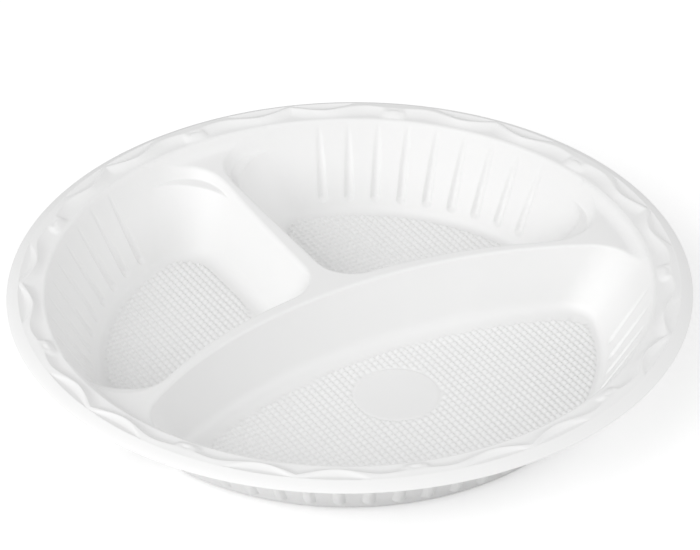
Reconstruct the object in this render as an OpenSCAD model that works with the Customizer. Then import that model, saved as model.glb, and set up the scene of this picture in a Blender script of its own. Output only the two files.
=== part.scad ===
/* [Plate] */
// Diameter over the turned-down lip
plate_d = 220; // [200:1:260]
// Height from the underside of the floors to the flat of the rim
rim_h = 28; // [20:0.5:34]
// Thickness of the formed sheet
sheet_t = 0.5; // [0.35:0.05:0.8]
// Width of the rim, from its outer edge to the crease where it turns down into the wells
rim_w = 13.8; // [12.5:0.1:16]
// Lean of the outer wall from the vertical, in degrees
wall_lean = 29; // [24:0.5:32]

/* [Dividers] */
// Depth of the crown of the dividers under the rim, out near the rim
crown_drop = 4; // [3:0.25:6]
// Further dip of the crown at the middle of the plate
crown_dip = 4.2; // [3:0.1:5]
// Half the width of the straight divider at its crown, at the middle of the plate
spine_half = 2.6; // [2:0.1:3.5]
// Half the width of the straight divider at the floor
spine_foot_half = 11.8; // [9:0.1:14]
// Small-well side of the arc divider, run up to the height of the rim: radius
arc_r = 137.8; // [126:0.2:150]
// How far that side's crest stands behind the middle of the plate
arc_y = 7.8; // [6:0.1:10]
// The same side at the floor: radius
arc_foot_r = 181.9; // [165:0.2:200]
// How far its crest stands behind the middle of the plate at the floor
arc_foot_y = 18.5; // [17:0.1:21]
// How much tighter the main-well side curves, run up to the height of the rim
arc_taper = 3.4; // [2:0.1:5]
// How far the two sides would cross at the height of the rim
arc_cross = 1.9; // [1.4:0.1:2.2]
// How much tighter the main-well side curves at the floor
arc_foot_taper = 2.9; // [1:0.1:5]
// Width of the arc divider at the floor
arc_foot_w = 19.6; // [17:0.1:22]

/* [Corners] */
// Small wells, corner of outer wall and straight divider: radius at the rim
corner_a = 18.5; // [14:0.5:21]
// The same corner at the floor
corner_a_foot = 13.5; // [9:0.5:16]
// Small wells, corner between the two dividers: radius at the rim
corner_b = 11; // [8:0.5:14]
// The same corner at the floor
corner_b_foot = 9; // [6:0.5:11]
// Small wells, corner of outer wall and arc divider: radius at the rim
corner_c = 18.5; // [14:0.5:21]
// The same corner at the floor
corner_c_foot = 10; // [8:0.5:13]
// Main well, both corners: radius at the rim
corner_m = 18.5; // [14:0.5:21]
// The same corners at the floor
corner_m_foot = 11; // [8:0.5:14]

/* [Edges] */
// Reach of the rounded edge on the crown of a divider
crown_edge = 1.3; // [0.8:0.1:1.8]
// Reach of the rounded edge at the crease of the rim
crease_edge = 0.8; // [0.5:0.1:1]
// Reach of the rounded foot of each wall
foot_edge = 3.2; // [2:0.1:4]
// Flat margin of the floor that each wall carries
foot_flat = 1; // [0.6:0.1:1.4]
// Softness of the hollow between crown and outer wall
fan_blend = 1.3; // [1:0.1:3]

/* [Stacking shoulders] */
// Depth of the shoulders under the rim, at their ends on the dividers
ledge_drop = 9; // [8:0.25:11]
// How much higher their ends on the outer wall are
ledge_climb = 2; // [0:0.25:2.5]
// Greatest width of a shoulder
ledge_w = 2; // [0.8:0.1:2.2]
// Rise of a shoulder across its width
ledge_rise = 0.35; // [0.2:0.05:0.6]

/* [Flutes] */
// Half the width of a flute
flute_half = 1.7; // [1:0.1:2]
// Depth of a flute near its foot
flute_d = 1.3; // [0.5:0.1:1.5]
// Height of the lowest point of a flute above the floor
flute_foot = 3.25; // [3:0.25:7]
// Depth under the rim at which a flute has faded out
flute_top = 2.4; // [1.5:0.1:4]
// Angle from one flute to the next, in degrees
flute_angle = 6.1; // [5.5:0.1:7]
// Flutes in the main well
main_flutes = 20; // [4:2:20]
// Flutes in each small well
small_flutes = 9; // [3:2:9]
// Direction of the middle flute of the right well, in degrees from the X axis
small_flute_angle = 40.6; // [39:0.1:42]

/* [Rim] */
// Repeats of the embossed pattern
lobes = 9; // [6:1:12]
// Distance from the outer edge to the line where the emboss meets the lip
lip_line_w = 5.7; // [4.8:0.1:7]
// Height of that line over the crease
lip_line_h = 1; // [0.4:0.1:1.4]
// Depth of the lip's lower edge under the crease
lip_h = 2.6; // [2:0.1:4]
// Height of the plain side of the lip
lip_side_h = 0.7; // [0.3:0.1:1]
// Height of the embossed ridge over the crease
ridge_h = 1.45; // [1:0.05:1.8]
// Width of the ridge's inner side
ridge_side_w = 1.7; // [1:0.1:2]
// Distance from the crease to the ridge where it comes nearest
ridge_near_w = 2.4; // [2:0.1:3]
// The same distance where the ridge swings out
ridge_far_w = 5.5; // [4.5:0.1:6]
// Distance from the lip line to the ridge at a cusp
ridge_cusp_w = 1.4; // [1:0.1:2]
// Width of the scoops between ridge and lip
scoop_w = 4.7; // [3:0.1:5]
// Depth of the scoops
scoop_d = 1.3; // [0.6:0.1:1.4]
// Half the width of the tongue between two bays
tongue_half = 3.2; // [2.4:0.1:4]

/* [Floor] */
// Radius of the smooth disc on the main floor
disc_r = 13.9; // [10:0.1:16]
// Distance of the disc from the middle of the plate
disc_y = 28; // [24:0.5:32]
// Rise of the disc over the floor
disc_h = 0.2; // [0.1:0.05:0.4]

/* [Hidden] */
overrun = 1;
plastic = "whitesmoke";

// Counts of samples along the corners, the arcs, the crown and the rim
corner_steps = 6;
arc_steps = 8;
crown_steps = 6;
fan_steps = 12;
lead_steps = 3;
rim_steps = 9;
crest_rounds = 16;

// Shares of a wall: across its rounded foot, up its plain stretch, up a shoulder and across a flute
foot_shares = [0.35, 0.7];
plain_shares = [0.4, 0.65, 0.85];
ledge_top_share = 0.6;
ledge_power = 2;
edge_share = 0.2;
flute_shares = [[-1, 0], [-0.45, 1], [0.45, 1], [1, 0]];
reach_share = 1.2;
margin_share = 0.05;
middle_share = 0.5;

// Shares of the rim: along half a repeat, then across the scoop and the lip
step_power = 1.5;
step_shares = [for (k = [0 : 1 : rim_steps]) 1 - pow(1 - k / rim_steps, step_power)];
ridge_near_share = 0.325;
ridge_far_share = 0.715;
ridge_turn_share = ridge_far_share - ridge_near_share;
ridge_power = 1.6;
scoop_middle_share = 0.32;
scoop_half_share = 0.295;
scoop_power = 0.7;
tongue_rise_share = 0.06;
tongue_foot_share = 0.25;
lip_share = 0.75;

// Degrees between the corners of a well and the plain ends of its outer wall
lead_angle = 1;

floor_top = sheet_t;
outer_r = plate_d / 2;
arc_front_r = arc_r - arc_taper;
arc_front_foot_r = arc_foot_r - arc_foot_taper;
crease_r = outer_r - rim_w;
lip_line_r = outer_r - lip_line_w;
arc_back_c = arc_r - arc_y;
arc_front_c = arc_front_r - arc_y - arc_cross;
arc_back_foot_c = arc_foot_r - arc_foot_y;
arc_front_foot_c = arc_front_foot_r - arc_foot_y + arc_foot_w;
crown_h = rim_h - crown_drop;
middle_h = crown_h - crown_dip;
dip_r = crease_r - crown_drop * tan(wall_lean);
edge_r = crease_r + crease_edge;
foot_r = crease_r - (rim_h - floor_top) * tan(wall_lean);
wall_g = sheet_t / cos(wall_lean);

function mix(a, b, s) = a + (b - a) * s;
function unit(v) = v / norm(v);
function polar(r, a) = [r * cos(a), r * sin(a)];
function plan(p) = [p[0], p[1]];
function bend(a, b, c, s) = mix(mix(a, b, s), mix(b, c, s), s);
function level(z) = (z - floor_top) / (rim_h - floor_top);
function smooth(s) = s <= 0 ? 0 : s >= 1 ? 1 : s * s * (3 - 2 * s);
function azimuth(p) = atan2(p[1], p[0]);

// Upper face of the crown at a radius: a shallow dish that turns up into the outer wall
function dish(r) = middle_h + crown_dip * pow(min(r, dip_r) / dip_r, 2);
function slope(r) = rim_h - (crease_r - r) / tan(wall_lean);
function blend(a, b) = (a + b) / 2 + sqrt(pow((a - b) / 2, 2) + pow(fan_blend, 2));
function crown(r) = min(rim_h, blend(dish(r), slope(r)));

// Point where a circle about the middle crosses one about the arc's centre, set back by c
function meet_y(r0, r1, c) = (pow(r1, 2) - pow(r0, 2) - pow(c, 2)) / (2 * c);
function meet(r0, r1, c) = let (y = meet_y(r0, r1, c)) [sqrt(pow(r0, 2) - pow(y, 2)), y];

// Samples of an outline: a point, the way out of the well, the share of a flute's depth, and the shares
// of a shoulder's depth and of its climb
function turn(centre, r, a0, a1, climb = undef) =
    [for (k = [0 : 1 : corner_steps])
        let (
            a = mix(a0, a1, k / corner_steps),
            shoulder = is_undef(climb) ? [undef, undef] :
                [pow(sin(180 * k / corner_steps), ledge_power), mix(climb[0], climb[1], k / corner_steps)]
        )
        concat([centre + polar(r, a), polar(1, a), undef], shoulder)];
function lead(r, a0, a1) =
    [for (k = [0 : 1 : lead_steps - 1])
        let (a = mix(a0, a1, k / lead_steps)) [polar(r, a), polar(1, a), undef, 0, 1]];
function back(row) = [for (k = [len(row) - 1 : -1 : 0]) row[k]];
function outer(r, flutes) =
    [for (f = flutes, s = flute_shares)
        let (a = f + s[0] * flute_half_angle) [polar(r, a), polar(1, a), s[1], undef]];

// Corner centres of the right well
function centre_a(o, x, r) = [x + r, sqrt(pow(o - r, 2) - pow(x + r, 2))];
function centre_b(x, c, d, r) = [x + r, sqrt(pow(d + r, 2) - pow(x + r, 2)) - c];
function centre_c(o, c, d, r) = meet(o - r, d + r, c);

// Outline of the right well, counter-clockwise: along the dividers from rim to rim, then the outer wall
function small_outline(o, x, c, d, ra, rb, rc, start, end) =
    let (
        ca = centre_a(o, x, ra),
        cb = centre_b(x, c, d, rb),
        cc = centre_c(o, c, d, rc),
        ub = azimuth(cb + [0, c]),
        uc = azimuth(cc + [0, c]),
        n = arc_steps
    )
    concat(
        lead(o, start, azimuth(ca)),
        turn(ca, ra, azimuth(ca), 180, [1, 0]),
        turn(cb, rb, 180, 180 + ub),
        [for (k = [1 : 1 : n - 1])
            let (u = mix(ub, uc, k / n)) [polar(d, u) - [0, c], -polar(1, u), undef, undef]],
        turn(cc, rc, 180 + uc, 360 + azimuth(cc), [0, 1]),
        back(lead(o, end, azimuth(cc))),
        outer(o, small_flute_list)
    );

// Outline of the main well, counter-clockwise: along the arc divider from rim to rim, then the outer wall
function main_outline(o, c, d, r, start) =
    let (
        m = meet(o - r, d - r, c),
        f = azimuth(m),
        u = azimuth(m + [0, c]),
        n = arc_steps + corner_steps
    )
    concat(
        lead(o, start, f),
        turn(m, r, f, u),
        [for (k = [1 : 1 : n - 1])
            let (v = mix(u, 180 - u, k / n)) [polar(d, v) - [0, c], polar(1, v), undef, undef]],
        turn([-m[0], m[1]], r, 180 - u, 180 - f),
        back(lead(o, 180 - start, 180 - f)),
        outer(o, main_flute_list)
    );

// The plain ends of each outer wall start here, clear of the corners at every height
spine_top_half = mix(spine_foot_half, spine_half, 1 / level(middle_h));
small_start = min(
    azimuth(centre_a(crease_r, spine_top_half, corner_a)),
    azimuth(centre_a(foot_r, spine_foot_half, corner_a_foot))
) - lead_angle;
small_end = max(
    azimuth(centre_c(crease_r, arc_back_c, arc_r, corner_c)),
    azimuth(centre_c(foot_r, arc_back_foot_c, arc_foot_r, corner_c_foot))
) + lead_angle;
main_start = min(
    azimuth(meet(crease_r - corner_m, arc_front_r - corner_m, arc_front_c)),
    azimuth(meet(foot_r - corner_m_foot, arc_front_foot_r - corner_m_foot, arc_front_foot_c))
) - lead_angle;

// Directions of the flutes, which keep to the plain stretch of each outer wall
flute_half_angle = flute_half / foot_r * 180 / PI;
function flute_list(middle, count, low, high) =
    [for (k = [0 : 1 : count - 1])
        let (a = middle + (k - (count - 1) / 2) * flute_angle)
        if (a - flute_half_angle > low && a + flute_half_angle < high) a];
small_flute_list = flute_list(small_flute_angle, small_flutes, small_end, small_start);
main_flute_list = flute_list(270, main_flutes, 180 - main_start, 360 + main_start);

small_low = small_outline(
    foot_r, spine_foot_half, arc_back_foot_c, arc_foot_r,
    corner_a_foot, corner_b_foot, corner_c_foot, small_start, small_end
);
small_high = small_outline(
    crease_r, spine_top_half, arc_back_c, arc_r,
    corner_a, corner_b, corner_c, small_start, small_end
);
main_low = main_outline(foot_r, arc_front_foot_c, arc_front_foot_r, corner_m_foot, main_start);
main_high = main_outline(crease_r, arc_front_c, arc_front_r, corner_m, main_start);

// Point on a well's wall at sample i and height z, moved outwards by g
function wall_dir(low, high, i, z) = unit(mix(low[i][1], high[i][1], level(z)));
function wall(low, high, i, z, g = 0) =
    let (p = mix(low[i][0], high[i][0], level(z)) + g * wall_dir(low, high, i, z)) [p[0], p[1], z];

// Height at which the wall at sample i meets the crown
function crest(low, high, i, w, a, b, n = crest_rounds) =
    let (m = (a + b) / 2)
    n == 0 ? m :
    crown(norm(plan(wall(low, high, i, m, w)))) > m ?
        crest(low, high, i, w, m, b, n - 1) : crest(low, high, i, w, a, m, n - 1);

// Reach of the rounded edge at a crest of height z
function edge_at(z) = mix(crown_edge, crease_edge, (z - middle_h) / (rim_h - middle_h));

// Three steps up the wall at sample i, each a height and how far the wall is pushed out there
function steps(flute, ledge, ledge_h, z0, z1) =
    !is_undef(flute) ? [
        [floor_top + flute_foot, 0],
        [floor_top + flute_foot + flute_half, flute_d * flute],
        [rim_h - flute_top, 0]
    ] :
    !is_undef(ledge) ? [
        [ledge_h, 0],
        [ledge_h + ledge_rise, ledge_w * ledge],
        [mix(ledge_h, z1, ledge_top_share), ledge_w * ledge]
    ] :
    [for (s = plain_shares) [mix(z0, z1, s), 0]];

// Cross-section of the sheet at sample i: upper face from floor to crown, then lower face back to the floor
function section(low, high, i) =
    let (
        drop = [0, 0, -sheet_t],
        ledge = low[i][3],
        ledge_h = is_undef(ledge) ? undef : rim_h - ledge_drop + ledge_climb * low[i][4],
        w = is_undef(ledge) ? 0 : ledge * ledge_w,
        z = crest(low, high, i, w, middle_h - overrun, rim_h),
        e = edge_at(z),
        sharp = wall(low, high, i, z, w),
        lip = plan(sharp) + e * wall_dir(low, high, i, z),
        top = [lip[0], lip[1], crown(norm(lip))],
        rise_h = floor_top + foot_edge,
        foot = wall(low, high, i, floor_top),
        rise = wall(low, high, i, rise_h),
        low_rise = wall(low, high, i, rise_h, wall_g),
        flat = wall(low, high, i, floor_top, -foot_edge),
        inner = wall(low, high, i, floor_top, -foot_edge - foot_flat),
        neck = wall(low, high, i, z - e, w),
        up = steps(low[i][2], ledge, ledge_h, rise_h, z - e)
    )
    concat(
        [inner, flat],
        [for (s = foot_shares) bend(flat, foot, rise, s)],
        [rise],
        [for (s = up) wall(low, high, i, s[0], s[1])],
        [neck, bend(neck, sharp, top, middle_share), top, top + drop],
        [wall(low, high, i, z - sheet_t, w + wall_g + edge_share * e)],
        [for (s = back(up)) wall(low, high, i, s[0], s[1] + wall_g)],
        [low_rise, bend(low_rise, wall(low, high, i, 0, wall_g), flat + drop, middle_share)],
        [inner + drop]
    );

// Place of the upper edge of the crown in a cross-section
top_index = len(foot_shares) + 8;

small_rows = [for (i = [0 : 1 : len(small_low) - 1]) section(small_low, small_high, i)];
main_rows = [for (i = [0 : 1 : len(main_low) - 1]) section(main_low, main_high, i)];

// Closed ring of sheet through cross-sections that run counter-clockwise round the well
module ring(rows) {
    m = len(rows[0]);
    n = len(rows);
    polyhedron(
        points = [for (row = rows) each row],
        faces = [for (i = [0 : 1 : n - 1], j = [0 : 1 : m - 1])
            each let (
                a = i * m + j,
                b = i * m + (j + 1) % m,
                c = (i + 1) % n * m + j,
                d = (i + 1) % n * m + (j + 1) % m
            ) [[a, d, b], [a, c, d]]]
    );
}

module plate(rows) {
    linear_extrude(height = sheet_t)
        polygon([for (row = rows) plan(row[0])]);
}

module main_wall() {
    color(plastic)
        ring(main_rows);
}

module main_floor() {
    color(plastic)
        union() {
            plate(main_rows);
            translate([0, -disc_y, 0])
                cylinder(h = floor_top + disc_h, r = disc_r, $fn = 96);
        }
}

module right_wall() {
    color(plastic)
        ring(small_rows);
}

module right_floor() {
    color(plastic)
        plate(small_rows);
}

module left_wall() {
    color(plastic)
        mirror([1, 0, 0])
            ring(small_rows);
}

module left_floor() {
    color(plastic)
        mirror([1, 0, 0])
            plate(small_rows);
}

// Space over one well, out past the rim, which the crown stops at
module well_cut(rows, start, end, last) {
    top = [for (row = rows) plan(row[top_index])];
    limit = edge_r - margin_share * crease_edge;
    line = [for (i = [lead_steps : 1 : last])
        if (min(norm(top[i - 1]), norm(top[i]), norm(top[i + 1])) < limit) top[i]];
    far = reach_share * edge_r;
    turns = 6;
    translate([0, 0, -overrun])
        linear_extrude(height = rim_h + 2 * overrun)
            polygon(concat(
                [polar(far, azimuth(line[0]))],
                line,
                [polar(far, azimuth(line[len(line) - 1]))],
                [for (k = [0 : 1 : turns]) polar(far, mix(start, end, k / turns))]
            ));
}

module dividers() {
    radii = concat(
        [for (k = [0 : 1 : crown_steps]) dip_r * k / crown_steps],
        [for (k = [1 : 1 : fan_steps]) mix(dip_r, crease_r, k / fan_steps)],
        [edge_r]
    );
    top = [for (r = radii) [r, crown(r)]];
    small_last = len(small_rows) - 1 - lead_steps - len(flute_shares) * len(small_flute_list);
    main_last = len(main_rows) - 1 - lead_steps - len(flute_shares) * len(main_flute_list);
    color(plastic)
        difference() {
            rotate_extrude($fn = 180)
                polygon(concat(top, [for (k = [len(top) - 1 : -1 : 0]) top[k] - [0, sheet_t]]));
            well_cut(small_rows, small_end, small_start, small_last);
            mirror([1, 0, 0])
                well_cut(small_rows, small_end, small_start, small_last);
            well_cut(main_rows, 180 - main_start, 360 + main_start, main_last);
        }
}

// Embossed pattern of the rim: shares of the way from a cusp of the ridge to the middle of a tongue
half_lobe = 180 / lobes;
lobe_shares = concat(
    [for (k = [rim_steps : -1 : 1]) -step_shares[k]],
    [for (k = [0 : 1 : rim_steps - 1]) step_shares[k]]
);
rim_samples = [for (l = [0 : 1 : lobes - 1], s = lobe_shares) [-90 + half_lobe * (2 * l + s), abs(s)]];
rim_in_r = edge_r / cos(half_lobe / rim_steps);
ridge_near_r = crease_r + ridge_near_w;
ridge_far_r = crease_r + ridge_far_w;
bay_end_share = 1 - tongue_half / crease_r * 180 / PI / half_lobe;
function ridge(s) =
    s < ridge_near_share ?
        mix(ridge_near_r, lip_line_r - ridge_cusp_w, pow(1 - s / ridge_near_share, ridge_power)) :
        mix(ridge_near_r, ridge_far_r, smooth((s - ridge_near_share) / ridge_turn_share));
function scoop(s) = max(0, 1 - pow((s - scoop_middle_share) / scoop_half_share, 2));
function tongue(s) = smooth((s - bay_end_share) / tongue_rise_share);

// Height over the crease from the ridge's inner edge out to the lip line, before the scoops
function land(r, c) = mix(ridge_h, lip_line_h, smooth((r - c) / (lip_line_r - c)));

// Cross-section of the rim at a share s, as radius and height: upper face outwards, then lower face back
function rim_section(s) =
    let (
        h = rim_h,
        c = ridge(s),
        bay_foot = max(c - ridge_side_w, mix(rim_in_r, c, edge_share)),
        foot = mix(bay_foot, mix(rim_in_r, c, tongue_foot_share), tongue(s)),
        foot_h = h + ridge_h * tongue(s),
        scoop_r = min(mix(c, lip_line_r, middle_share), lip_line_r - scoop_w * scoop(s)),
        start = max(mix(c, lip_line_r, edge_share), scoop_r),
        deep = (start + lip_line_r) / 2,
        deep_h = h + land(deep, c) - scoop_d * pow(scoop(s), scoop_power),
        line_h = h + lip_line_h,
        side_h = h - lip_h + lip_side_h,
        round_r = mix(lip_line_r, outer_r, lip_share),
        round_h = mix(side_h, line_h, sqrt(1 - pow(lip_share, 2))),
        low = outer_r - sheet_t
    )
    [
        [rim_in_r, h],
        [foot, foot_h],
        [c, h + ridge_h],
        [start, h + land(start, c)],
        [deep, deep_h],
        [lip_line_r, line_h],
        [round_r, round_h],
        [outer_r, side_h],
        [outer_r, h - lip_h],
        [low, h - lip_h],
        [round_r - sheet_t / 2, round_h - sheet_t],
        [lip_line_r, line_h - sheet_t],
        [deep, deep_h - sheet_t],
        [c, h + ridge_h - sheet_t],
        [foot, foot_h - sheet_t],
        [rim_in_r, h - sheet_t]
    ];

module rim() {
    color(plastic)
        ring([for (s = rim_samples)
            [for (p = rim_section(s[1])) [p[0] * cos(s[0]), p[0] * sin(s[0]), p[1]]]]);
}

rim();
dividers();
main_wall();
main_floor();
left_wall();
left_floor();
right_wall();
right_floor();
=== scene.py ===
import bpy
import math
from collections import namedtuple
from mathutils import Matrix, Vector
from mathutils.geometry import delaunay_2d_cdt


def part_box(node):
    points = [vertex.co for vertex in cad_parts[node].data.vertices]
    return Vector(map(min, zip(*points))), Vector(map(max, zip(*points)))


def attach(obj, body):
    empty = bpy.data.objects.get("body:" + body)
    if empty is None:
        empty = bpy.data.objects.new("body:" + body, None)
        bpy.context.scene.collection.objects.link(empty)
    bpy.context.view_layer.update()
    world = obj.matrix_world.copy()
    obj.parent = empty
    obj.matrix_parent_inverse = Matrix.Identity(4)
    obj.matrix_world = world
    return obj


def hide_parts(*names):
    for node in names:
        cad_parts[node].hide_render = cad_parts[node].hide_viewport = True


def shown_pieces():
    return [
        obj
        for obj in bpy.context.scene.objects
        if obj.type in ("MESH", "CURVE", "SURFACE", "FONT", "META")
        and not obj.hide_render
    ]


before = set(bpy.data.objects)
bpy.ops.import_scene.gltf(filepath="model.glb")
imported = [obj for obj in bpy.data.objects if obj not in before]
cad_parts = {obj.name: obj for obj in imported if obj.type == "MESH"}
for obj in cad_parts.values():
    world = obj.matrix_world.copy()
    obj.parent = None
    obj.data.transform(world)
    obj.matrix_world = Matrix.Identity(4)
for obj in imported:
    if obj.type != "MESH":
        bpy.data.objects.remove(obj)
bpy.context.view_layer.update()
print("frame loaded, nodes:", ", ".join(sorted(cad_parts)))

# The plate is drawn in millimetres of a 220 mm plate and brought to the frame's size by unit
drawnWidth = 220
sheet = 0.5                                     # thickness
rimLow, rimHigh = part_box("rim")
unit = (rimHigh.x - rimLow.x) / drawnWidth
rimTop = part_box("main_wall")[1].z / unit        # height of the crease between the outer walls and the rim


def mix(a, b, share):
    return a + (b - a) * share


def clamp(share):
    return max(0.0, min(1.0, share))


def smooth(share):
    share = clamp(share)
    return share * share * (3 - 2 * share)


def spread(start, end, count):
    return [mix(start, end, k / count) for k in range(count + 1)]


def polar(radius, angle):
    turn = math.radians(angle)
    return Vector((radius * math.cos(turn), radius * math.sin(turn)))


def azimuth(point):
    return math.degrees(math.atan2(point.y, point.x))


def bend(a, b, c, share):
    return mix(mix(a, b, share), mix(b, c, share), share)


def softMin(a, b, reach):
    return (a + b) / 2 - math.sqrt(((a - b) / 2) ** 2 + (reach / 2) ** 2)


# Outlines of the wells. A pair holds what a size is at the rim's height and at the floor's.

atRim, atFloor = 0, 1

wells = {
    "creaseRadius": 96.2,
    "wallLean": 29,                                 # degrees from upright
    "spineHalf": 2.6,                               # straight divider: half width at its crown, mid-plate
    "spineFootHalf": 11.8,                          # and at the floor
    "arcFront": ((129.6, 118.7), (179.0, 180.1)),   # arc divider's main side: radius, set-back of its centre
    "arcBack": ((132.6, 123.7), (181.9, 163.4)),    # and its other side
    "cornerA": (18.5, 13.5),                        # radius between the outer wall and the straight divider
    "cornerB": (15.0, 10.0),                        # between the two dividers
    "cornerC": (18.5, 10.0),                        # between the arc divider and a side well's outer wall
    "cornerM": (18.5, 11.0),                        # between the arc divider and the main well's outer wall
    "leadAngle": 1.0,                               # degrees of plain outer wall beside a corner
    "leadSteps": 6,
    "spineSteps": 24,
    "arcFrontSteps": 110,
    "arcBackSteps": 30,
    "cornerSteps": {"cornerA": 36, "cornerB": 22, "cornerC": 36, "cornerM": 30},
}

crown = {
    "drop": 4.0,                # depth of the dividers under the rim, near the outer walls
    "dip": 4.2,                 # how much deeper they are in the middle of the plate
    "fanBlend": 3.2,            # reach of the hollow between the crown and the outer wall
    "edge": 0.9,                # rounding of the crown's edges
    "creaseEdge": 0.8,          # and of the crease
    "edgeSteps": 6,
    "searchUnder": 1,           # start of the search for where a wall meets the crown, under its middle
    "halvings": 22,             # and the steps of that search
    "meetMargin": 0.001,
}

flutes = {
    "angle": 6.1,               # degrees from one to the next
    "half": 1.7,                # half width
    "depth": 1.35,
    "foot": 2.9,                # height of their lower end over the floor
    "footRound": 1.1,           # height of their round lower end, in half widths
    "fadeDrop": 1.0,            # depth of their upper end under the rim
    "fadePower": 0.8,
    "mainCount": 20,
    "mainMiddle": 270,
    "smallCount": 9,
    "smallMiddle": 40.6,
    "faintFrom": 47,            # degrees from the main wall's middle where its flutes start to get shallow
    "faintTo": 68,              # and where they are as shallow as they get
    "faint": 0.42,              # share of their depth that is left there
    "across": (-1.15, -1.0, -0.85, -0.65, -0.4, -0.15, 0.15, 0.4, 0.65, 0.85, 1.0, 1.15),   # in half widths
    "plainStep": 0.9,           # degrees between samples where there is no flute
}

shoulders = {
    "drop": 9.0,                # depth under the rim at the dividers
    "climb": 2.0,               # how much higher they end on the outer wall
    "width": 2.5,
    "rise": 0.45,
    "swell": 0.9,               # how far the wall under them stands into the well
}

feet = {
    "outerReach": 1.6,          # rounding where an outer wall meets the floor
    "dividerReach": 3.4,        # and where a divider does
    "margin": 0.4,              # flat floor that belongs to the wall
    "steps": 7,
}

creaseR = wells["creaseRadius"]
lean = math.tan(math.radians(wells["wallLean"]))
footR = creaseR - (rimTop - sheet) * lean
edgeR = creaseR + crown["creaseEdge"]
middleTop = rimTop - crown["drop"] - crown["dip"]
dipR = creaseR - crown["drop"] * lean


def levelOf(z):
    return (z - sheet) / (rimTop - sheet)


outerRadius = (creaseR, footR)
spineHalf = (mix(wells["spineFootHalf"], wells["spineHalf"], 1 / levelOf(middleTop)), wells["spineFootHalf"])
fluteHalf = math.degrees(flutes["half"] / footR)


# Height of the crown at a radius: a shallow dish, a hollow, the outer wall's slope and the rounded crease
def crownHeight(radius):
    edge = crown["creaseEdge"]
    if radius > creaseR - edge * lean:        # the crease is a bend from the wall's slope to level
        bow = 1 - lean
        share = (-lean + math.sqrt(lean ** 2 + bow * (lean + (min(radius, edgeR) - creaseR) / edge))) / bow
        return rimTop - edge * (1 - share) ** 2
    dish = middleTop + crown["dip"] * (min(radius, dipR) / dipR) ** 2
    slope = rimTop - (creaseR - radius) / lean
    near = max(0.0, 1 - abs(dish - slope) / crown["fanBlend"])
    return max(dish, slope) + near ** 2 * crown["fanBlend"] / 4


# Where a circle round the plate's middle meets one whose centre is set back behind it
def meet(radius, arcRadius, setBack):
    y = (arcRadius ** 2 - radius ** 2 - setBack ** 2) / (2 * setBack)
    return Vector((math.sqrt(radius ** 2 - y ** 2), y))


def smallCentres(level):
    outer, spine = outerRadius[level], spineHalf[level]
    arcRadius, setBack = wells["arcBack"][level]
    ra, rb, rc = (wells[name][level] for name in ("cornerA", "cornerB", "cornerC"))
    a = Vector((spine + ra, math.sqrt((outer - ra) ** 2 - (spine + ra) ** 2)))
    b = Vector((spine + rb, math.sqrt((arcRadius + rb) ** 2 - (spine + rb) ** 2) - setBack))
    return a, b, meet(outer - rc, arcRadius + rc, setBack)


def mainCentre(level):
    arcRadius, setBack = wells["arcFront"][level]
    radius = wells["cornerM"][level]
    return meet(outerRadius[level] - radius, arcRadius - radius, setBack)


def fluteAngles(middle, count, low, high):
    angles = [middle + (k - (count - 1) / 2) * flutes["angle"] for k in range(count)]
    return [a for a in angles if a - fluteHalf > low and a + fluteHalf < high]


# The plain outer walls start clear of the corners at every height
smallStart = min(azimuth(smallCentres(level)[0]) for level in (atRim, atFloor)) - wells["leadAngle"]
smallEnd = max(azimuth(smallCentres(level)[2]) for level in (atRim, atFloor)) + wells["leadAngle"]
mainStart = min(azimuth(mainCentre(level)) for level in (atRim, atFloor)) - wells["leadAngle"]
smallFlutes = fluteAngles(flutes["smallMiddle"], flutes["smallCount"], smallEnd, smallStart)
mainFlutes = fluteAngles(flutes["mainMiddle"], flutes["mainCount"], 180 - mainStart, 360 + mainStart)

# A place on an outline, with the direction out of the well, the kind of stretch that it is on, and how far
# along its corner or across its flute it is
Sample = namedtuple("Sample", "point away kind share")


def outerSamples(radius, angles, low, high):
    reach = fluteHalf * flutes["across"][-1]
    rows, last = [], low
    for angle in angles + [high]:
        end = high if angle == high else angle - reach
        count = max(2, round((end - last) / flutes["plainStep"]))
        rows += [(a, None) for a in spread(last, end, count)[0 if last == low else 1:-1]]
        if angle != high:
            rows += [(angle + fluteHalf * share, share) for share in flutes["across"]]
            last = angle + reach
    return [Sample(polar(radius, a), polar(1, a), "outer", share) for a, share in rows]


def leadSamples(radius, angles):
    return [Sample(polar(radius, a), polar(1, a), "lead", None) for a in angles]


def turnSamples(centre, name, level, start, end):
    radius, count = wells[name][level], wells["cornerSteps"][name]
    return [Sample(centre + polar(radius, a), polar(1, a), name, k / count)
            for k, a in enumerate(spread(start, end, count))]


# Right well, counter-clockwise: along the dividers from rim to rim, then the outer wall
def smallOutline(level):
    outer = outerRadius[level]
    arcRadius, setBack = wells["arcBack"][level]
    a, b, c = smallCentres(level)
    behind = Vector((0, setBack))
    ub, uc = azimuth(b + behind), azimuth(c + behind)
    straight = [Sample(Vector((spineHalf[level], y)), Vector((-1, 0)), "plain", None)
                for y in spread(a.y, b.y, wells["spineSteps"])[1:-1]]
    along = [Sample(polar(arcRadius, u) - behind, -polar(1, u), "plain", None)
             for u in spread(ub, uc, wells["arcBackSteps"])[1:-1]]
    return (
        leadSamples(outer, spread(smallStart, azimuth(a), wells["leadSteps"])[:-1])
        + turnSamples(a, "cornerA", level, azimuth(a), 180)
        + straight
        + turnSamples(b, "cornerB", level, 180, 180 + ub)
        + along
        + turnSamples(c, "cornerC", level, 180 + uc, 360 + azimuth(c))
        + leadSamples(outer, spread(smallEnd, azimuth(c), wells["leadSteps"])[-2:0:-1])
        + outerSamples(outer, smallFlutes, smallEnd, smallStart)
    )


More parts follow.
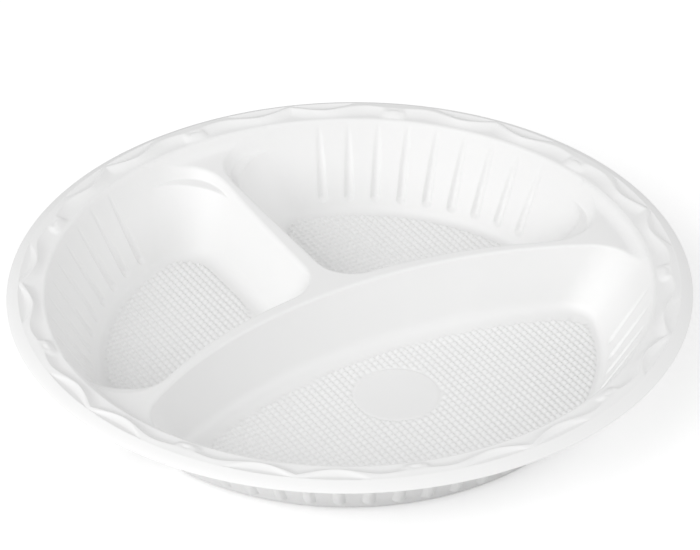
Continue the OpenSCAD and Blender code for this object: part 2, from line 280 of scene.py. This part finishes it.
# Main well, counter-clockwise: along the arc divider from rim to rim, then the outer wall
def mainOutline(level):
    outer = outerRadius[level]
    arcRadius, setBack = wells["arcFront"][level]
    m = mainCentre(level)
    far = Vector((-m.x, m.y))
    behind = Vector((0, setBack))
    f, u = azimuth(m), azimuth(m + behind)
    along = [Sample(polar(arcRadius, v) - behind, polar(1, v), "plain", None)
             for v in spread(u, 180 - u, wells["arcFrontSteps"])[1:-1]]
    return (
        leadSamples(outer, spread(mainStart, f, wells["leadSteps"])[:-1])
        + turnSamples(m, "cornerM", level, f, u)
        + along
        + turnSamples(far, "cornerM", level, 180 - u, 180 - f)
        + leadSamples(outer, spread(180 - mainStart, 180 - f, wells["leadSteps"])[-2:0:-1])
        + outerSamples(outer, mainFlutes, 180 - mainStart, 360 + mainStart)
    )


# Walls: straight lines from an outline at the floor's height to the one at the rim's, with their relief

wallSteps = {
    "count": 44,
    # Heights from the flutes' foot or from the shoulder, and the share of the steps that lies below each
    "flute": ((-0.2, 0.06), (2.0, 0.28)),
    "shoulder": ((-0.6, 0.42), (shoulders["rise"] + 0.4, 0.72)),
}


def wallDirection(low, high, z):
    return mix(low.away, high.away, levelOf(z)).normalized()


def wallPoint(low, high, z, push=0.0):
    place = mix(low.point, high.point, levelOf(z)) + wallDirection(low, high, z) * push
    return Vector((place.x, place.y, z))


# Height where the wall meets the crown
def crestHeight(low, high, push):
    if low.kind in ("outer", "lead"):
        return rimTop
    below, above = middleTop - crown["searchUnder"], rimTop
    for _ in range(crown["halvings"]):
        z = (below + above) / 2
        if crownHeight(wallPoint(low, high, z, push).xy.length) > z + crown["meetMargin"]:
            below = z
        else:
            above = z
    return below


def fluteDepth(low, z):
    foot, fade = sheet + flutes["foot"], rimTop - flutes["fadeDrop"]
    if low.share is None or abs(low.share) >= 1 or z <= foot or z >= fade:
        return 0.0
    aside = abs(azimuth(low.point) - (flutes["mainMiddle"] - 360)) if low.point.y < 0 else 0.0
    fading = smooth((aside - flutes["faintFrom"]) / (flutes["faintTo"] - flutes["faintFrom"]))
    height = ((fade - z) / (fade - foot)) ** flutes["fadePower"]
    roundEnd = flutes["half"] * flutes["footRound"]
    if z < foot + roundEnd:
        height = min(height, 1 - ((foot + roundEnd - z) / roundEnd) ** 2)
    return flutes["depth"] * max(0.0, height - low.share * low.share) * mix(1, flutes["faint"], fading)


# How near a place in a corner is to the outer wall, from 0 at the divider to 1
def outerShare(low):
    if low.kind in ("outer", "lead"):
        return 1.0
    if low.kind in ("plain", "cornerB"):
        return 0.0
    fromOuter = low.kind == "cornerA" or low.kind == "cornerM" and low.point.x > 0
    return 1 - low.share if fromOuter else low.share


# Heights up the wall, close together where its relief is
def wallHeights(kind, start, end, ledge):
    relief, height = (), 0.0
    if kind == "outer":
        relief, height = wallSteps["flute"], sheet + flutes["foot"]
    elif kind in ("cornerA", "cornerC"):
        relief, height = wallSteps["shoulder"], ledge
    stops = [(start, 0), *((height + over, share) for over, share in relief), (end, 1)]
    levels = []
    for share in spread(0, 1, wallSteps["count"]):
        (z0, s0), (z1, s1) = next(pair for pair in zip(stops, stops[1:]) if share <= pair[1][1])
        levels.append(mix(z0, z1, (share - s0) / (s1 - s0)))
    return levels


# Upper face of the sheet from the floor's edge up to the crown or the rim, as 3D points
def wallColumn(low, high):
    nearOuter = outerShare(low)
    ledge = math.sin(math.pi * low.share) ** 2 if low.kind in ("cornerA", "cornerC") else 0.0
    ledgeZ = rimTop - shoulders["drop"] + (shoulders["climb"] * nearOuter if ledge else 0.0)
    push = ledge * shoulders["width"]

    reach = mix(feet["dividerReach"], feet["outerReach"], smooth(nearOuter))
    flat, foot = wallPoint(low, high, sheet, -reach), wallPoint(low, high, sheet)
    rise = wallPoint(low, high, sheet + reach)
    points = [wallPoint(low, high, sheet, -reach - feet["margin"])]
    points += [bend(flat, foot, rise, share) for share in spread(0, 1, feet["steps"])]

    crest = crestHeight(low, high, push)
    edge = mix(crown["edge"], crown["creaseEdge"], clamp((crest - middleTop) / (rimTop - middleTop)))
    neckZ = crest - edge
    for z in wallHeights(low.kind, sheet + reach, neckZ, ledgeZ)[1:-1]:
        out = fluteDepth(low, z) if low.kind == "outer" else 0.0
        if ledge:
            swell = -ledge * shoulders["swell"] * min(1, (z - sheet) / (ledgeZ - sheet)) ** 2
            out = mix(swell, push, smooth((z - ledgeZ) / shoulders["rise"]))
        points.append(wallPoint(low, high, z, out))

    neck, sharp = wallPoint(low, high, neckZ, push), wallPoint(low, high, crest, push)
    lip = sharp.xy + wallDirection(low, high, crest) * edge
    top = Vector((lip.x, lip.y, crownHeight(lip.length)))
    return points + [bend(neck, sharp, top, share) for share in spread(0, 1, crown["edgeSteps"])]


sheetFinish = {
    "doubles": 2e-6,            # metres
    "smoothAngle": 50,
}


def clearSelection():
    bpy.ops.object.select_all(action="DESELECT")


def placeSheet(piece, node):
    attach(piece, "root")
    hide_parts(node)
    print(piece.name, "made:", len(piece.data.polygons), "faces")


# Gives a formed face the sheet's thickness downwards and soft shading
def finishSheet(piece):
    clearSelection()
    bpy.context.view_layer.objects.active = piece
    piece.select_set(True)
    bpy.ops.object.mode_set(mode="EDIT")
    bpy.ops.mesh.select_all(action="SELECT")
    bpy.ops.mesh.remove_doubles(threshold=sheetFinish["doubles"])
    bpy.ops.mesh.normals_make_consistent(inside=False)
    bpy.ops.object.mode_set(mode="OBJECT")
    if sum(face.normal.z * face.area for face in piece.data.polygons) < 0:
        piece.data.flip_normals()
    solid = piece.modifiers.new("sheet", "SOLIDIFY")
    solid.thickness = sheet * unit
    solid.offset = -1
    bpy.ops.object.modifier_apply(modifier=solid.name)
    bpy.ops.object.shade_smooth_by_angle(angle=math.radians(sheetFinish["smoothAngle"]))
    piece.select_set(False)
    return piece


# A grid whose lines follow the columns of points, closed into a ring
def formGrid(name, columns):
    clearSelection()
    columns = columns + columns[:1]
    across, up = len(columns), len(columns[0])
    bpy.ops.mesh.primitive_grid_add(
        x_subdivisions=across - 1, y_subdivisions=up - 1, size=1, enter_editmode=False)
    piece = bpy.context.object
    piece.name = piece.data.name = name
    for j in range(up):
        for i in range(across):
            piece.data.vertices[j * across + i].co = columns[i][j] * unit
    piece.data.update()
    return piece


def mirrored(points):
    return [Vector((-p.x, p.y, p.z)) for p in points]


smallColumns = [wallColumn(low, high) for low, high in zip(smallOutline(atFloor), smallOutline(atRim))]
mainColumns = [wallColumn(low, high) for low, high in zip(mainOutline(atFloor), mainOutline(atRim))]
leftColumns = [mirrored(column) for column in reversed(smallColumns)]
for name, node, columns in (
        ("mainWallSheet", "main_wall", mainColumns),
        ("rightWallSheet", "right_wall", smallColumns),
        ("leftWallSheet", "left_wall", leftColumns)):
    placeSheet(finishSheet(formGrid(name, columns)), node)
print("walls made")


# Floors: waffle embossing inside a smooth margin, and the main floor's smooth disc

waffle = {
    "pitch": 2.25,
    "height": 0.8,
    "round": 0.9,               # how much of the half pitch a bead's slope takes
    "bridge": 0.5,              # how far neighbouring beads are joined across a groove
    "cells": 5,                 # mesh cells in a pitch
    "fade": 0.9,                # width in which the beads rise at the embossing's edge
    "outside": 0.1,             # how far past its edge the mesh stays fine
    "outerRadius": 79.4,
    "mainArc": (168.5, 175.1),  # edge beside the arc divider: radius, set-back of its centre
    "smallArcMargin": 2.0,      # distance from the divider's foot in the side wells
    "spineLine": (12.96, 63.9, 0.109),   # half width at a distance along the divider, and its lean
    "corner": 7.0,              # reach of the rounding in the embossing's corners
    "discRadius": 13.9,
    "discY": -28.0,
    "discHeight": 0.2,
    "discEdge": 0.8,
}
fillTolerance = 1e-5


# Height of the beads of the lattice, lowest where two grooves cross
def beadHeight(x, y):
    fromMiddle = [abs((value / waffle["pitch"]) % 1.0 - 0.5) * 2 for value in (x, y)]   # 1 in a groove
    along, across = (1 - smooth(share / waffle["round"]) for share in fromMiddle)
    return waffle["height"] * mix(along * across, (along + across) / 2, waffle["bridge"])


# How far a place lies inside the embossing's edge
def mainInset(x, y):
    arcRadius, setBack = waffle["mainArc"]
    outer = waffle["outerRadius"] - math.hypot(x, y)
    arc = arcRadius - math.hypot(x, y + setBack)
    return softMin(outer, arc, waffle["corner"])


def smallInset(x, y):
    arcRadius, setBack = wells["arcBack"][atFloor]
    half, along, slant = waffle["spineLine"]
    outer = waffle["outerRadius"] - math.hypot(x, y)
    arc = math.hypot(x, y + setBack) - arcRadius - waffle["smallArcMargin"]
    spine = x - half - (along - y) * slant
    return softMin(softMin(outer, arc, waffle["corner"]), spine, waffle["corner"])


def mainFloorHeight(x, y):
    disc = math.hypot(x, y - waffle["discY"]) - waffle["discRadius"]
    share = smooth(mainInset(x, y) / waffle["fade"]) * smooth(disc / waffle["fade"])
    return sheet + beadHeight(x, y) * share + waffle["discHeight"] * smooth(-disc / waffle["discEdge"])


def smallFloorHeight(x, y):
    return sheet + beadHeight(x, y) * smooth(smallInset(x, y) / waffle["fade"])


# A face that fills a closed loop of 3D points, through 2D points inside it that are raised to their height
def fillFace(name, loop, inside, height):
    edges = [(k, (k + 1) % len(loop)) for k in range(len(loop))]
    made, _, faces, origin, *_ = delaunay_2d_cdt([p.xy for p in loop] + inside, edges, [], 1, fillTolerance)
    corners = []
    for p, sources in zip(made, origin):
        known = [n for n in sources if n < len(loop)]
        z = loop[known[0]].z if known else height(p.x, p.y)
        corners.append(Vector((p.x, p.y, z)) * unit)
    mesh = bpy.data.meshes.new(name)
    mesh.from_pydata(corners, [], faces)
    piece = bpy.data.objects.new(name, mesh)
    bpy.context.scene.collection.objects.link(piece)
    return piece


def latticePoints(loop, inset):
    step = waffle["pitch"] / waffle["cells"]
    xs, ys = [p.x for p in loop], [p.y for p in loop]
    places = [((i + 0.5) * step, (j + 0.5) * step)
              for j in range(math.floor(min(ys) / step), math.ceil(max(ys) / step))
              for i in range(math.floor(min(xs) / step), math.ceil(max(xs) / step))]
    return [Vector(place) for place in places if inset(*place) > -waffle["outside"]]


def floorSheet(name, columns, inset, height):
    loop = [column[0] for column in columns]
    return finishSheet(fillFace(name, loop, latticePoints(loop, inset), height))


# The mirror image of a placed piece, with a mesh of its own. It keeps the marks of the first one
def twinAcross(piece, name):
    twin = piece.copy()
    twin.data = piece.data.copy()
    twin.name = twin.data.name = name
    bpy.context.scene.collection.objects.link(twin)
    for v in twin.data.vertices:
        v.co.x = -v.co.x
    twin.data.flip_normals()
    return twin


placeSheet(floorSheet("mainFloorSheet", mainColumns, mainInset, mainFloorHeight), "main_floor")
rightFloor = floorSheet("rightFloorSheet", smallColumns, smallInset, smallFloorHeight)
placeSheet(rightFloor, "right_floor")
placeSheet(twinAcross(rightFloor, "leftFloorSheet"), "left_floor")
print("floors made")


# Crown of the dividers, between the wells' upper edges and the rim

crownFill = {
    "step": 1.5,                # triangular lattice over the dish
    "rowShare": 0.866,          # distance between its rows, in steps
    "fanStart": 88.0,           # radius where rings of points follow, because the fans turn up
    "fanGap": 0.3,
    "rings": 18,
    "ringStep": 0.5,
    "ringSpacing": 1.1,
    "rimGap": 0.3,              # least distance of a point from the rim
    "loopGap": 0.35,            # and from the loop
    "rimStep": 1.0,             # distance between the loop's points along the rim
    "rimMargin": 0.03,          # a well's edge has left the rim when it is this far from it
}


# The run of a well's upper edge that leaves the rim
def edgeRun(columns):
    tops = [column[-1] for column in columns]
    inner = [k for k, p in enumerate(tops) if p.xy.length < edgeR - crownFill["rimMargin"]]
    return tops[inner[0] - 1:inner[-1] + 2]


def alongRim(a, b):
    start, end = azimuth(a), azimuth(b)
    if end < start:
        end += 360
    count = max(2, round((end - start) * math.radians(edgeR) / crownFill["rimStep"]))
    return [Vector((*polar(edgeR, angle), rimTop)) for angle in spread(start, end, count)[1:-1]]


# Counter-clockwise round the crown: each well is passed clockwise
def crownLoop():
    loop = edgeRun(mainColumns)[::-1]
    for columns in (smallColumns, leftColumns):
        run = edgeRun(columns)[::-1]
        loop += alongRim(loop[-1], run[0]) + run
    return loop + alongRim(loop[-1], loop[0])


def insideLoop(loop, x, y):
    inside = False
    for a, b in zip(loop, loop[1:] + loop[:1]):
        if (a.y > y) != (b.y > y) and x < (b.x - a.x) * (y - a.y) / (b.y - a.y) + a.x:
            inside = not inside
    return inside


# Every other row or ring is moved along by half a step
def crownPoints(loop):
    step, fanStart = crownFill["step"], crownFill["fanStart"]
    columns = math.ceil(fanStart / step) + 1
    rows = math.ceil(fanStart / (step * crownFill["rowShare"])) + 1
    trial = [Vector(((i + 0.5 * (j % 2)) * step, j * step * crownFill["rowShare"]))
             for j in range(-rows, rows) for i in range(-columns, columns)]
    trial = [p for p in trial if p.length < fanStart - crownFill["fanGap"]]
    for k in range(crownFill["rings"]):
        radius = fanStart + k * crownFill["ringStep"]
        count = round(2 * math.pi * radius / crownFill["ringSpacing"])
        trial += [polar(radius, (n + 0.5 * (k % 2)) * 360 / count) for n in range(count)]
    inside = [p for p in trial if p.length < edgeR - crownFill["rimGap"] and insideLoop(loop, p.x, p.y)]
    return [p for p in inside if min((q.xy - p).length for q in loop) > crownFill["loopGap"]]


loop = crownLoop()
crownPiece = fillFace(
    "dividerCrownSheet", loop, crownPoints(loop), lambda x, y: crownHeight(math.hypot(x, y)))
placeSheet(finishSheet(crownPiece), "dividers")
print("crown made")


# Rim: a wavy ridge with bays, scoops and tongues in nine repeats, and the turned-down lip

rim = {
    "repeats": 9,
    "firstCusp": -90,
    "ridgeHeight": 1.5,            # over the crease
    "flank": 4.2,                  # width of the hollow that climbs from a bay's floor to the ridge
    "bayDip": 0.12,
    "cusp": 103.6,                 # radius of the ridge's inner edge at a cusp
    "cuspPower": 1.6,
    "near": (99.9, 6.5),           # where it comes nearest the crease: radius, angle from the cusp
    "turn": (102.6, 14.3),         # where it swings out again
    "curl": 101.6,                 # where it turns in beside a tongue
    "scoopMiddle": 6.4,
    "scoopHalf": 5.9,
    "scoopWidth": 4.3,
    "scoopLeast": 0.05,            # narrowest scoop that is formed
    "scoopDepth": 0.7,
    "scoopShallow": 0.7,           # power by which it gets shallow as it narrows
    "scoopDeepest": 0.5,           # where across its width it is deepest, from the ridge
    "scoopFall": 1.8,              # how soon it falls from the ridge, and how late it climbs to the lip
    "scoopClimb": 1.4,
    "lipLine": 104.6,
    "lipLineHeight": 1.2,
    "outer": 108.4,
    "lipHeight": 1.0,
    "lipSide": 0.15,               # height of the plain side of the lip
    "lipBow": 0.25,                # share of the lip's fall that comes late
    "tongueFoot": 97.2,
    "tongueReach": (3.0, 3.9),     # half width and length of the arch on a tongue
    "tongueClimb": 3.2,            # width of the slope from the crease up a tongue
    "tongueSide": (0.85, 0.7),     # where across a tongue its side starts, and how wide it is
    "tongueCrown": 0.25,
    "archStart": 0.3,              # share of its length in which the arch rises
    "archGroove": 0.2,
    "archWidth": 0.13,
    "stepsRound": 52,
    "baySteps": 16,
    "ridgeSteps": 20,
    "lipSteps": 14,
}
halfRepeat = 180 / rim["repeats"]


def ridgeEdge(angle):
    nearR, nearAngle = rim["near"]
    turnR, turnAngle = rim["turn"]
    if angle < nearAngle:
        return mix(nearR, rim["cusp"], (1 - angle / nearAngle) ** rim["cuspPower"])
    if angle < turnAngle:
        return mix(nearR, turnR, smooth((angle - nearAngle) / (turnAngle - nearAngle)))
    return mix(turnR, rim["curl"], smooth((angle - turnAngle) / (halfRepeat - turnAngle)))


def scoopDepth(radius, angle):
    width = rim["scoopWidth"] * max(0.0, 1 - ((angle - rim["scoopMiddle"]) / rim["scoopHalf"]) ** 2)
    into = radius - (rim["lipLine"] - width)
    if width <= rim["scoopLeast"] or into <= 0:
        return 0.0
    share, deepest = min(1.0, into / width), rim["scoopDeepest"]
    fall, climb = max(0.0, 1 - share / deepest), max(0.0, (share - deepest) / (1 - deepest))
    depth = rim["scoopDepth"] * (width / rim["scoopWidth"]) ** rim["scoopShallow"]
    return depth * (1 - fall ** rim["scoopFall"] - climb ** rim["scoopClimb"])


# The crown on a tongue and the arched groove round it
def tongueRelief(across, radius):
    along = (radius - rim["tongueFoot"]) / rim["tongueReach"][1]
    if along <= 0:
        return 0.0
    arch = math.hypot(across, along)
    groove = rim["archGroove"] * math.exp(-((arch - 1) / rim["archWidth"]) ** 2)
    return (rim["tongueCrown"] * max(0.0, 1 - arch ** 2) - groove) * smooth(along / rim["archStart"])


# Height over the crease; the angle is from a cusp, up to the middle of a tongue
def rimHeight(radius, angle):
    ridge = ridgeEdge(angle)
    across = math.radians(halfRepeat - angle) * radius / rim["tongueReach"][0]
    top = rim["ridgeHeight"]
    if radius > ridge:
        top = mix(top, rim["lipLineHeight"], smooth((radius - ridge) / (rim["lipLine"] - ridge)))
    climb = clamp(1 - (ridge - radius) / min(rim["flank"], ridge - edgeR))
    bay = top * climb ** 2 - rim["bayDip"] * math.sin(math.pi * min(1, (radius - edgeR) / (ridge - edgeR)))
    tongue = top * smooth((radius - edgeR) / rim["tongueClimb"])
    start, width = rim["tongueSide"]
    height = mix(tongue, bay, smooth((across - start) / width))
    return height - scoopDepth(radius, angle) + tongueRelief(across, radius)


# Upper face of the rim from the crease out over the lip, as radius and height, at an angle from a cusp
def rimColumn(angle):
    ridge = ridgeEdge(angle)
    radii = spread(edgeR, ridge, rim["baySteps"])[:-1] + spread(ridge, rim["lipLine"], rim["ridgeSteps"])[:-1]
    column = [(r, rimTop + rimHeight(r, angle)) for r in radii]
    fall = rim["lipLineHeight"] + rim["lipHeight"] - rim["lipSide"]
    for share in spread(0, 1, rim["lipSteps"]):
        column.append((mix(rim["lipLine"], rim["outer"], share),
                       rimTop + rim["lipLineHeight"] - fall * mix(share, share ** 3, rim["lipBow"])))
    return column + [(rim["outer"], rimTop - rim["lipHeight"])]


angles = spread(0, halfRepeat, rim["stepsRound"])
halfProfile = [rimColumn(a) for a in angles]
rimColumns = []
for repeat in range(rim["repeats"]):
    cusp = rim["firstCusp"] + 2 * halfRepeat * repeat
    for k in range(-rim["stepsRound"], rim["stepsRound"]):
        turn = cusp + math.copysign(angles[abs(k)], k)
        rimColumns.append([Vector((*polar(r, turn), z)) for r, z in halfProfile[abs(k)]])
placeSheet(finishSheet(formGrid("rimSheet", rimColumns)), "rim")
print("rim made")


# Material

class Value:
    def __init__(self, tree, socket):
        self.tree, self.socket = tree, socket

    def maths(self, operation, a, b):
        return self.tree.node("ShaderNodeMath", {"operation": operation}, {0: a, 1: b})

    def __add__(self, other):
        return self.maths("ADD", self, other)

    def __mul__(self, other):
        return self.maths("MULTIPLY", self, other)

    def __sub__(self, other):
        return self.maths("SUBTRACT", self, other)

    def __rsub__(self, other):
        return self.maths("SUBTRACT", other, self)

    __radd__, __rmul__ = __add__, __mul__


class Tree:
    def __init__(self, owner):
        owner.use_nodes = True
        self.nodes, self.links = owner.node_tree.nodes, owner.node_tree.links

    # A node of a type, with its settings first and then the values or links of its sockets; gives one output
    def node(self, kind, settings=None, sockets=None, output=0):
        made = self.nodes.new(kind)
        for name, value in (settings or {}).items():
            setattr(made, name, value)
        for name, value in (sockets or {}).items():
            self.feed(made.inputs[name], value)
        return Value(self, made.outputs[output])

    def feed(self, socket, value):
        if isinstance(value, Value):
            self.links.new(value.socket, socket)
        else:
            socket.default_value = value


# The sockets of a Mix node on colours
mixColour = {"data_type": "RGBA"}
mixShare, mixFirst, mixSecond, mixResult = 0, 6, 7, 2

plasticLook = {
    "light": (0.87, 0.87, 0.868, 1),
    "deep": (0.848, 0.848, 0.846, 1),     # where the sheet was drawn a little thinner
    "cloud": {"Scale": 38, "Detail": 3.0, "Roughness": 0.55},
    "grain": {"Scale": 1400, "Detail": 2.0, "Roughness": 0.5},
    "roughness": 0.5,
    "roughnessSpread": 0.08,
    "grainShare": 0.7,
    "bump": {"Strength": 0.5, "Distance": 0.00001},
}


def plastic(name):
    material = bpy.data.materials.new(name)
    tree = Tree(material)
    shader = tree.nodes["Principled BSDF"]
    place = tree.node("ShaderNodeTexCoord", output="Object")
    cloud = tree.node("ShaderNodeTexNoise", None, {"Vector": place, **plasticLook["cloud"]})
    grain = tree.node("ShaderNodeTexNoise", None, {"Vector": place, **plasticLook["grain"]})
    colour = tree.node("ShaderNodeMix", mixColour, {
        mixShare: cloud, mixFirst: plasticLook["deep"], mixSecond: plasticLook["light"]}, mixResult)
    relief = grain * plasticLook["grainShare"] + cloud * (1 - plasticLook["grainShare"])
    bumpy = tree.node("ShaderNodeBump", None, {**plasticLook["bump"], "Height": relief})
    roughness = plasticLook["roughness"] + (cloud - 0.5) * plasticLook["roughnessSpread"]
    for socket, value in (("Base Color", colour), ("Roughness", roughness), ("Normal", bumpy)):
        tree.feed(shader.inputs[socket], value)
    return material


white = plastic("whitePlastic")
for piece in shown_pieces():
    piece.data.materials.clear()
    piece.data.materials.append(white)
print("plastic made")


# Floor, sky, lights and camera

stand = {
    "size": 6.0,
    "drop": 0.0002,                   # under the plate
    "colour": (0.84, 0.84, 0.84, 1),
    "roughness": 0.9,
    "glow": 0.33,                     # for the camera alone, so that the floor is white and keeps its shadow
}

sky = {
    "colour": (1, 1, 1, 1),
    "strength": 0.54,
    "seenStrength": 1.0,              # for the camera alone
}

windows = {
    "leftWindow": {"azimuth": 194, "elevation": 33, "distance": 1.2, "size": 1.2, "power": 9.5},
    "rightWindow": {"azimuth": 329, "elevation": 30, "distance": 1.2, "size": 1.0, "power": 3.9},
}

camera = {
    "azimuth": -31.0,
    "elevation": 34.43,
    "roll": -0.57,
    "distance": 1107.4,               # from the middle of the plate at the crease's height
    "across": 0.15,                   # small steps aside that frame the plate as the photograph does
    "up": 1.54,
    "lens": 180.0,
    "sensor": 36,
}


# One shader for the camera and another for everything else
def forCamera(tree, seen, other):
    cameraRay = tree.node("ShaderNodeLightPath", output="Is Camera Ray")
    return tree.node("ShaderNodeMixShader", None, {0: cameraRay, 1: other, 2: seen})


def palePaint():
    paint = bpy.data.materials.new("palePaint")
    tree = Tree(paint)
    shader = tree.nodes["Principled BSDF"]
    tree.feed(shader.inputs["Base Color"], stand["colour"])
    tree.feed(shader.inputs["Roughness"], stand["roughness"])
    plain = Value(tree, shader.outputs[0])
    glow = tree.node("ShaderNodeEmission", None, {"Strength": stand["glow"]})
    both = tree.node("ShaderNodeAddShader", None, {0: plain, 1: glow})
    tree.feed(tree.nodes["Material Output"].inputs["Surface"], forCamera(tree, both, plain))
    return paint


def studioSky():
    world = bpy.data.worlds.new("studio")
    tree = Tree(world)
    light = tree.nodes["Background"]
    tree.feed(light.inputs["Color"], sky["colour"])
    tree.feed(light.inputs["Strength"], sky["strength"])
    seen = tree.node("ShaderNodeBackground", None, {"Color": sky["colour"], "Strength": sky["seenStrength"]})
    both = forCamera(tree, seen, Value(tree, light.outputs[0]))
    tree.feed(tree.nodes["World Output"].inputs["Surface"], both)
    return world


def softLight(name, azimuth, elevation, distance, size, power):
    lamp = bpy.data.lights.new(name, "AREA")
    lamp.shape = "DISK"
    lamp.size = size
    lamp.energy = power
    lampObject = bpy.data.objects.new(name, lamp)
    bpy.context.scene.collection.objects.link(lampObject)
    a, e = math.radians(azimuth), math.radians(elevation)
    back = Vector((math.cos(a) * math.cos(e), math.sin(a) * math.cos(e), math.sin(e)))
    lampObject.location = back * distance
    lampObject.rotation_euler = back.to_track_quat("Z", "Y").to_euler()


def photoCamera():
    e, roll = math.radians(camera["elevation"]), math.radians(camera["roll"])
    back = Vector((0, -math.cos(e), math.sin(e)))
    right = Vector((1, 0, 0))
    up = back.cross(right)
    r = right * math.cos(roll) + up * math.sin(roll)
    u = up * math.cos(roll) - right * math.sin(roll)
    turn = Matrix.Rotation(math.radians(camera["azimuth"]), 3, "Z")
    away = back * camera["distance"] + r * camera["across"] + u * camera["up"]
    place = turn @ away + Vector((0, 0, rimTop))
    lens = bpy.data.cameras.new("camera")
    lens.lens = camera["lens"]
    lens.sensor_width = camera["sensor"]
    cameraObject = bpy.data.objects.new("camera", lens)
    bpy.context.scene.collection.objects.link(cameraObject)
    axes = Matrix((turn @ r, turn @ u, turn @ back)).transposed().to_4x4()
    cameraObject.matrix_world = Matrix.Translation(place * unit) @ axes
    return cameraObject


clearSelection()
bpy.ops.mesh.primitive_plane_add(size=stand["size"], location=(0, 0, -stand["drop"]))
floor = bpy.context.object
floor.name = "paleFloor"
floor.data.materials.append(palePaint())
bpy.context.scene.world = studioSky()
for name, window in windows.items():
    softLight(name, **window)
bpy.context.scene.camera = photoCamera()
bpy.context.scene.view_settings.view_transform = "Standard"
print("floor, sky, lights and camera set")
